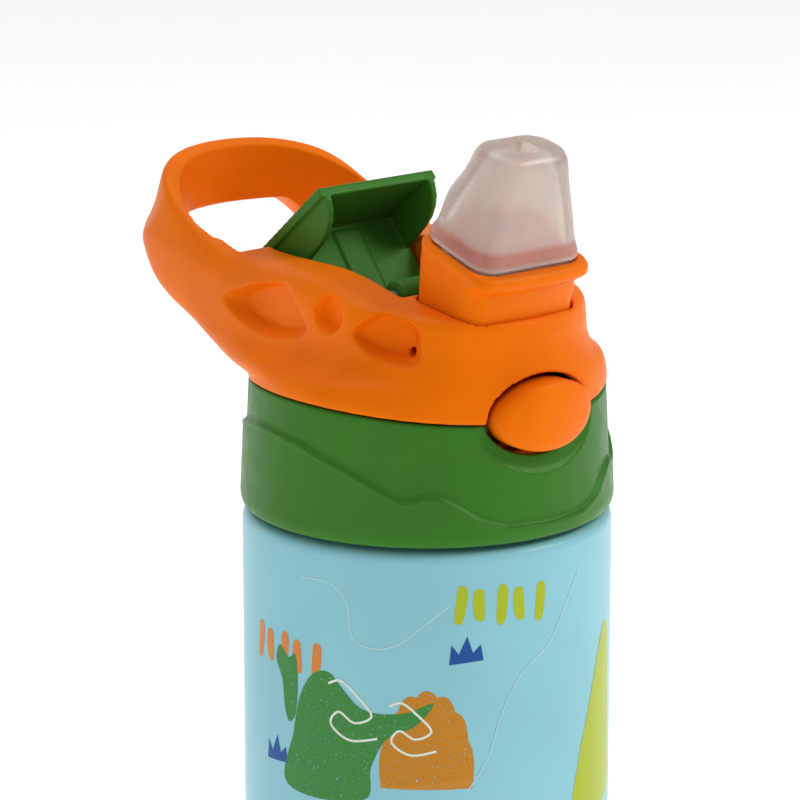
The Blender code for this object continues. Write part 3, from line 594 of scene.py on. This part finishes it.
def seam_height(angle):
    """Height of the wavy seam between collar and lid top; angle 0 is the front."""
    return 24.5 - 0.3 * math.cos(angle) - 1.3 * math.cos(2 * angle)


BAND = [(0, 3.0), (15, 3.3), (24, 5.2), (31, 8.2), (36, 9.9), (40, 10.1), (47, 8.8), (64, 13.9),
        (82, 17.8), (95, 18.9), (105, 19.0), (120, 17.8), (132, 15.5), (150, 9.5), (166, 5.0),
        (180, 4.0)]


def collar_section(angle):
    """The collar's cross-section at one angle, as (radius, z) points."""
    seam = seam_height(angle)
    degrees = abs(math.degrees(math.remainder(angle, 2 * math.pi)))
    band = soft_between([(-15, 3.3)] + BAND + [(194, 5.0)], degrees, 1.6)

    def wall(z):
        return 35.1 + (24.5 - z) * 0.045

    return [
        (34.75, seam), (wall(seam), seam - 0.3), (wall(band + 0.75), band + 0.75),
        (wall(band) + 0.3, band + 0.3), (wall(band) + 0.95, band - 0.05), (wall(band) + 0.8, band - 0.8),
        (36.87, 2.2), (36.65, 0.95), (36.2, 0.25), (35.4, 0.0), (33.7, 0.0), (COLLAR_BORE, 0.8),
        (COLLAR_BORE, FLANGE_LOW), (FLANGE_RADIUS, FLANGE_LOW), (FLANGE_RADIUS, FLANGE_HIGH),
        (COLLAR_INNER, FLANGE_HIGH), (COLLAR_INNER, seam)]


def button_outline(margin, count=96):
    """The button's oval, grown by a margin, as (x, z) points."""
    return [((BUTTON_HALF_WIDTH + margin) * x, BUTTON_Z + (BUTTON_HALF_HEIGHT + margin) * z)
            for x, z in circle(1.0, count)]


def button_hole(margin):
    """Cutter for the oval hole that the button works in."""
    return extruded("button_hole", [(x, -40.0, z) for x, z in button_outline(margin)], (0, 12.0, 0))


def make_collar():
    """Green collar: raised wavy band, dished button seat, inner flange and thread."""
    rings = []
    for i in range(AROUND):
        angle = 2 * math.pi * i / AROUND
        rings.append([(r * math.sin(angle), -r * math.cos(angle), z) for r, z in collar_section(angle)])
    collar = loft("collar", rings, ring_of_rings=True)
    seat = bmesh.new()
    bmesh.ops.create_uvsphere(seat, u_segments=96, v_segments=48, radius=1.0)
    seat.transform(Matrix.Translation((0, -35.7, BUTTON_Z)) @ Matrix.Diagonal((15.4, 2.1, 11.1, 1)))
    for vert in seat.verts:
        vert.co.y += 35.7 - math.sqrt(35.7 ** 2 - vert.co.x ** 2)
    ridges = [thread(f"collar_thread_{k}", COLLAR_BORE + 0.3, NECK_RADIUS + 0.45,
                     THREAD_START + THREAD_LEAD / 4, math.pi * k, COLLAR_Z) for k in range(2)]
    combine(collar, ridges, "UNION")
    combine(collar, [add_object("seat_dish", seat, COLLAR_Z), button_hole(1.0)], "DIFFERENCE")
    soften(collar, 0.3, 3)
    place(collar, "lid", "screw_collar", LOOKS["green"])


# Lid top ---------------------------------------------------------------------------------

TOP_EDGE = [(-31, 42.3), (-26, 43.3), (-13.6, 44.4), (-4, 46.6), (5, 47.8), (12, 47.7), (22, 47.5),
            (28.5, 47.7), (32, 48.5), (35, 49.4), (41.5, 51.3), (49, 54.4), (54, 57.0), (58, 59.0),
            (62, 60.7), (66, 61.9), (68, 62.2)]

# Radius and height at the front, side and back; reach of the back; lift of the loop's underside.
SKIN = [
    ((34.9, 27.8), (35.0, 28.4), (34.7, 26.4), 2.0, 0.0),
    ((34.4, 30.0), (33.9, 30.1), (32.6, 26.9), 10.0, 4.0),
    ((33.6, 32.4), (31.0, 31.3), (30.8, 28.8), 18.5, 14.0),
    ((33.0, 34.4), (28.9, 32.8), (29.8, 32.8), 28.0, 16.5),
    ((32.5, 36.6), (28.2, 35.0), (29.5, 36.9), 37.0, 12.0),
    ((32.3, 39.2), (28.2, 38.6), (29.6, 40.8), 41.6, 8.0),
    ((32.2, -3.0), (28.2, -6.0), (29.5, -16.0), 44.2, 3.0),
    ((32.1, -2.0), (27.9, -4.2), (28.8, -12.0), 43.4, 0.5),
    ((32.0, -1.2), (27.2, -2.6), (28.0, -7.5), 42.3, 0.0),
    ((31.6, -0.5), (26.0, -1.2), (27.5, -2.2), 41.2, 0.0),
    ((30.8, -0.1), (24.3, -0.4), (27.1, -0.5), 40.9, 0.0),
    ((29.4, 0.0), (22.0, 0.0), (26.2, 0.0), 40.7, 0.0),
]


def skin_point(row, angle):
    """A point of the lid's skin, at an angle from the front."""
    front, side, back, reach, lift = row
    turn = abs(math.degrees(math.remainder(angle, 2 * math.pi)))
    to_side, to_back = ease(16, 92, turn), ease(95, 135, turn)
    radius = front[0] + (side[0] - front[0]) * to_side + (back[0] - side[0]) * to_back
    z = front[1] + (side[1] - front[1]) * to_side + (back[1] - side[1]) * to_back
    y = -radius * math.cos(angle) + reach * ease(60, 120, turn)
    if front[1] <= 0:
        z += soft_between(TOP_EDGE, y)
    return (radius * math.sin(angle), y, z + lift * ease(130, 156, turn))


def lid_skin():
    """Rings of the lid's outer form, from the seam over the upper edge to its middle line."""
    even = [2 * math.pi * i / AROUND for i in range(AROUND)]
    angles = [s + 0.2 * math.sin(2 * s) for s in even]

    def skirt(radius, lift):
        return [(radius * math.sin(a), -radius * math.cos(a), seam_height(a) + lift) for a in angles]

    start = [[(30.0 * math.sin(a), -30.0 * math.cos(a), 23.4) for a in angles], skirt(32.6, GAP)]
    wall = [skirt(34.9, GAP), skirt(35.2, GAP + 0.35), skirt(35.2, 1.6)]
    wall += [[skin_point(row, a) for a in angles] for row in SKIN]
    middle = ((3.0, 0.0), (3.0, 0.0), (3.0, 0.0), LOOP_CENTRE, 0.0)
    return start + smooth_rings(wall, 5) + [[skin_point(middle, a) for a in angles]]


def finger_hole(steps=96):
    """Outline of the carry loop's opening, as (x, y) points."""
    angles = [math.pi * i / steps for i in range(1, steps)]
    back = [(LOOP_INNER * math.cos(a), LOOP_CENTRE + LOOP_INNER * math.sin(a)) for a in angles]
    front = rounded(LOOP_INNER, 4.0, 2.6, (0, LOOP_FRONT + 4.0))
    return back + [p for p in front if p[1] <= LOOP_FRONT + 2.7]


def neck_plan(half_x, half_y, radius, centre_y, bulge=0.0):
    """A neck outline: square back, straight sides, and a front that bulges forward."""
    points = rounded(half_x, half_y, radius, (0, centre_y))
    straight = half_x - radius
    across = [(straight * (i / 8 - 1), centre_y - half_y) for i in range(1, 16)]
    points = points[:39] + across + points[39:]
    return [(x, y - bulge * (1 - (x / half_x) ** 2) * max(0.0, (centre_y - y) / half_y))
            for x, y in points]


def pocket_cutters(side):
    """Tapered cutters for the three pockets of one side."""
    rear = [(26.7, 39.9), (23.4, 41.7), (16.4, 44.3), (11.3, 45.0), (9.5, 44.0), (5.2, 39.4),
            (4.9, 37.5), (7.7, 36.2), (14.0, 35.4), (20.4, 36.2), (24.8, 37.8)]
    middle = [(-3.3 + 3.4 * x, 42.1 + 3.5 * z) for x, z in circle(1.0, 16)]
    front = [(0, 39.2), (1.1, 40.7), (4.9, 43.3), (7.2, 43.4), (10.4, 42.4), (12.4, 41.2),
             (12.8, 38.3), (12.4, 36.1), (10.1, 35.4), (5.6, 36.0), (2.3, 37.3)]
    made = []
    for name, outline in (("rear", rear), ("middle", middle)):
        flat = [(side * 24.9, y, z) for y, z in smooth_loop(outline, 4)]
        made.append(extruded(f"pocket_{name}", flat, (side * 6, 0, 0), 1.55))
    plane = [(side * (24.99 - 0.524 * s), -8.94 - 0.852 * s, z) for s, z in smooth_loop(front, 4)]
    made.append(extruded("pocket_front", plane, (side * 6.0, -3.69, 0), 1.6))
    return made


def shrunk(outline_object, share):
    """Scale the inner end of a tapered cutter about its own middle."""
    points = outline_object.data.vertices
    half = len(points) // 2
    middle = sum((points[i].co for i in range(half)), Vector()) / half
    for i in range(half):
        points[i].co = middle + (points[i].co - middle) * share
    return outline_object


def make_lid_top():
    """Orange lid top: skirt, upper deck with the cover's well, and the carry loop."""
    lid = loft("lid_shell", lid_skin())
    hollow = lathe("hollow", [(0, 38.0), (20.5, 38.0), (23.3, 36.5), (23.6, 33.6), (27.5, 31.2),
                              (31.5, 29.5), (33.0, 26.8), (33.1, 20.0), (0, 20.0)], COLLAR_Z)
    wall = WELL_WALL
    combine(hollow, [box("well_block", (-WELL_HALF_WIDTH - wall, WELL_FRONT - wall, WELL_FLOOR - wall),
                         (WELL_HALF_WIDTH + wall, WELL_REAR + wall, 43.0))], "DIFFERENCE")
    well = box("well", (-WELL_HALF_WIDTH, WELL_FRONT, WELL_FLOOR), (WELL_HALF_WIDTH, WELL_REAR, 60.0))
    combine(well, [box("cover_rest", (-14.95, 28.0, 42.9), (14.95, 45.0, 64.0)),
                   box("shoulder", (-22.9, 30.2, 46.2), (22.9, 46.0, 66.0)),
                   box("latch_slot", (-9.2, -11.0, 20.0), (9.2, -5.4, 30.0))], "UNION")
    loop_hole = extruded("loop_hole", [(x, y, 15.0) for x, y in finger_hole()], (0, 0, 55.0))
    neck_hole = extruded("neck_hole", [(x, y, 28.6) for x, y in neck_plan(14.4, 8.6, 4.0, -19.9, 2.2)],
                         (0, 0, 33.4))
    combine(lid, [hollow, loop_hole, well, neck_hole, button_hole(0.9)], "DIFFERENCE")
    for side in (-1, 1):
        pockets = [shrunk(cutter, 0.84) for cutter in pocket_cutters(side)]
        vent = cylinder("vent", (side * 18.0, -18.3, 36.4), (side * 0.852, -0.524, 0), 0.9, 9.0)
        bore = cylinder("bore", (side * 16.0, *HINGE[1:]), (1, 0, 0), PIN_RADIUS + 0.25, 3.4)
        combine(lid, pockets + [vent, bore], "DIFFERENCE")
    soften(lid, 0.36, 5)
    place(lid, "lid", "lid_top", LOOKS["orange"])


# Spout -----------------------------------------------------------------------------------

def sloped(outline, drop=0.0):
    """Lay an (x, y) outline on the neck rim's plane, or below it."""
    return [(x, y, 57.3 + 0.31 * (y + 13.6) - drop) for x, y in outline]


def tip(half_x, half_y, radius, z, slope, centre_y):
    """A ring of the spout, leaning with the slope."""
    return [(x, y, z + slope * (y + 28.2)) for x, y in rounded(half_x, half_y, radius, (0, centre_y))]


def spout_hole(radius, z, slope, centre_y):
    """A ring of the round hole in the spout's tip."""
    count = len(rounded(1, 1, 0.5))
    angles = [2 * math.pi * (i + 0.5) / count for i in range(count)]
    return [(radius * math.cos(a), centre_y + radius * math.sin(a), z + slope * radius * math.sin(a))
            for a in angles]


def make_spout():
    """Soft spout: leans forward from its foot on the rim to a tilted oval tip with a round hole."""
    outside = [
        sloped(rounded(12.3, 7.9, 3.8, (0, -22.9)), -0.4),
        sloped(rounded(13.0, 9.0, 4.4, (0, -22.6)), -0.45),
        sloped(rounded(13.2, 9.2, 4.6, (0, -22.6)), -1.0),
        sloped(rounded(13.1, 9.1, 4.7, (0, -22.7)), -2.0),
        sloped(rounded(12.4, 8.5, 4.8, (0, -23.4)), -4.4),
        tip(11.4, 7.8, 5.0, 63.2, 0.30, -24.5),
        tip(10.0, 6.9, 5.0, 68.0, 0.28, -26.2),
        tip(9.2, 6.3, 5.0, 72.0, 0.25, -27.3),
        tip(8.7, 5.8, 4.9, 73.6, 0.24, -27.6),
        tip(7.6, 4.8, 4.2, 74.5, 0.24, -27.8),
        spout_hole(3.3, 74.7, 0.24, -28.0),
        spout_hole(2.75, 74.2, 0.24, -28.0),
        spout_hole(2.65, 71.8, 0.24, -27.8),
    ]
    inside = [
        tip(6.2, 4.2, 4.0, 70.2, 0.24, -27.4),
        tip(8.4, 4.9, 4.0, 64.5, 0.28, -25.4),
        sloped(rounded(10.3, 6.0, 3.6, (0, -22.8)), -4.4),
        sloped(rounded(10.3, 6.0, 3.2, (0, -22.8)), -3.4),
        sloped(rounded(10.6, 6.3, 3.2, (0, -22.8)), 0.9),
    ]
    foot = [sloped(rounded(12.2, 7.8, 3.6, (0, -22.9)), 0.9)]
    spout = loft("soft_spout", foot + smooth_rings(outside, 5) + inside, ring_of_rings=True)
    place(spout, "lid", "spout", LOOKS["silicone"])
    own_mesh(spout)


# Cover, neck, button and inner pieces ----------------------------------------------------

def make_cover():
    """Green flip cover: the CAD's form with softened edges."""
    cover = copy_of("flip_cover")
    soften(cover, 0.28, 3)
    place(cover, "cover", "flip_cover", LOOKS["green"])


def make_neck():
    """Orange spout base with its lipped neck: the CAD's form with softened edges."""
    base = copy_of("spout_base")
    soften(base, 0.3, 4)
    place(base, "lid", "spout_base", LOOKS["orange"])


def make_button():
    """Oval domed button that follows the lid's curve."""
    def face(scale, depth):
        return [(x * scale, depth - math.sqrt(BUTTON_FACE_RADIUS ** 2 - (x * scale) ** 2),
                 BUTTON_Z + (z - BUTTON_Z) * scale) for x, z in button_outline(0)]

    front = smooth_rings([face(1.0, 2.0), face(1.0, 1.3), face(0.975, 0.55), face(0.9, 0.05),
                          face(0.75, -0.35), face(0.5, -0.7), face(0.2, -0.85)], 6)
    back = [[(x, -31.2, z) for x, z in button_outline(0)]]
    place(loft("button", back + front), "release", "release_button", LOOKS["orange"])


def make_button_springs():
    """The button's two return springs, kept as the CAD draws them; the real springs shorten as the
    slider moves back.
    """
    for side in ("left", "right"):
        node = "button_spring_" + side
        spring = copy_of(node)
        place(spring, "lid", node, LOOKS["steel_long"])
        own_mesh(spring)


def dress_cad_nodes():
    """Materials for the CAD nodes that keep their shape."""
    looks = {
        "inner_liner": "steel_round", "base_plate": "steel_round", "hinge_pin": "steel_long",
        "cover_spring": "steel_long", "lid_gasket": "seal", "plate_seal": "seal",
        "vent_valve": "seal", "straw": "clear", "latch_slider": "white"}
    for node, look in looks.items():
        for place_for_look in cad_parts[node].material_slots:
            place_for_look.material = LOOKS[look]


# Studio ----------------------------------------------------------------------------------

def aim(obj, target):
    """Turn a light or camera to face a point."""
    obj.rotation_euler = (Vector(target) - obj.location).to_track_quat("-Z", "Y").to_euler()


def softbox(name, place_at, size, power, colour=(1, 1, 1)):
    """A square area light aimed at the lid."""
    light = bpy.data.lights.new(name, "AREA")
    light.size = size
    light.energy = power
    light.color = colour
    obj = bpy.data.objects.new(name, light)
    obj.location = place_at
    bpy.context.scene.collection.objects.link(obj)
    aim(obj, (0, 0, 0.13))


def make_floor():
    """A large pale floor, rolled up at its far edge."""
    rows = []
    bm = bmesh.new()
    for i in range(25):
        share = i / 24
        y = -3.0 + 7.0 * min(1.0, share * 1.4)
        z = 2.0 * max(0.0, share - 0.7) ** 2 * 11
        rows.append([bm.verts.new((x, y, z)) for x in (-5.0, 5.0)])
    for (a, b), (c, d) in zip(rows, rows[1:]):
        bm.faces.new((a, b, d, c))
    mesh = bpy.data.meshes.new("floor")
    bm.to_mesh(mesh)
    bm.free()
    floor = bpy.data.objects.new("floor", mesh)
    bpy.context.scene.collection.objects.link(floor)
    look, nodes, link, shader = new_look("floor", (0.93, 0.93, 0.93), 0.9)
    link(ramp(nodes, link, noise(nodes, link, 3, 2), [(0.3, (0.92,) * 3), (0.7, (0.94,) * 3)]),
         shader.inputs["Base Color"])
    shader.inputs["Emission Color"].default_value = (1, 1, 1, 1)
    shader.inputs["Emission Strength"].default_value = 0.45
    mesh.materials.append(look)


def make_studio():
    """Floor, white surroundings, softboxes and the camera at the photograph's angle."""
    make_floor()
    scene = bpy.context.scene
    world = bpy.data.worlds.new("surroundings")
    world.use_nodes = True
    world.node_tree.nodes["Background"].inputs["Color"].default_value = (1, 1, 1, 1)
    world.node_tree.nodes["Background"].inputs["Strength"].default_value = 0.33
    scene.world = world
    softbox("key", (0.75, -0.75, 0.95), 0.5, 7.0)
    softbox("fill", (-1.1, -0.35, 0.55), 0.6, 1.4)
    softbox("top", (0.0, 0.25, 1.3), 0.7, 4.4)
    scene.view_settings.view_transform = "Standard"

    azimuth, elevation, distance = math.radians(-40.0), math.radians(15.89), 0.815
    back = Vector((math.sin(azimuth) * math.cos(elevation),
                   -math.cos(azimuth) * math.cos(elevation), math.sin(elevation)))
    right = Vector((math.cos(azimuth), math.sin(azimuth), 0))
    camera = bpy.data.objects.new("camera", bpy.data.cameras.new("camera"))
    camera.data.lens = 185.4
    camera.data.sensor_width = 36.0
    camera.location = Vector((0, 0, COLLAR_Z * MM)) + back * distance
    up = back.cross(right)
    forward = -back - right * math.tan(math.radians(0.378)) + up * math.tan(math.radians(1.356))
    camera.rotation_euler = forward.to_track_quat("-Z", "Y").to_euler()
    scene.collection.objects.link(camera)
    scene.camera = camera


make_body()
make_print()
make_collar()
make_lid_top()
make_neck()
make_spout()
make_cover()
make_button()
make_button_springs()
dress_cad_nodes()
make_studio()
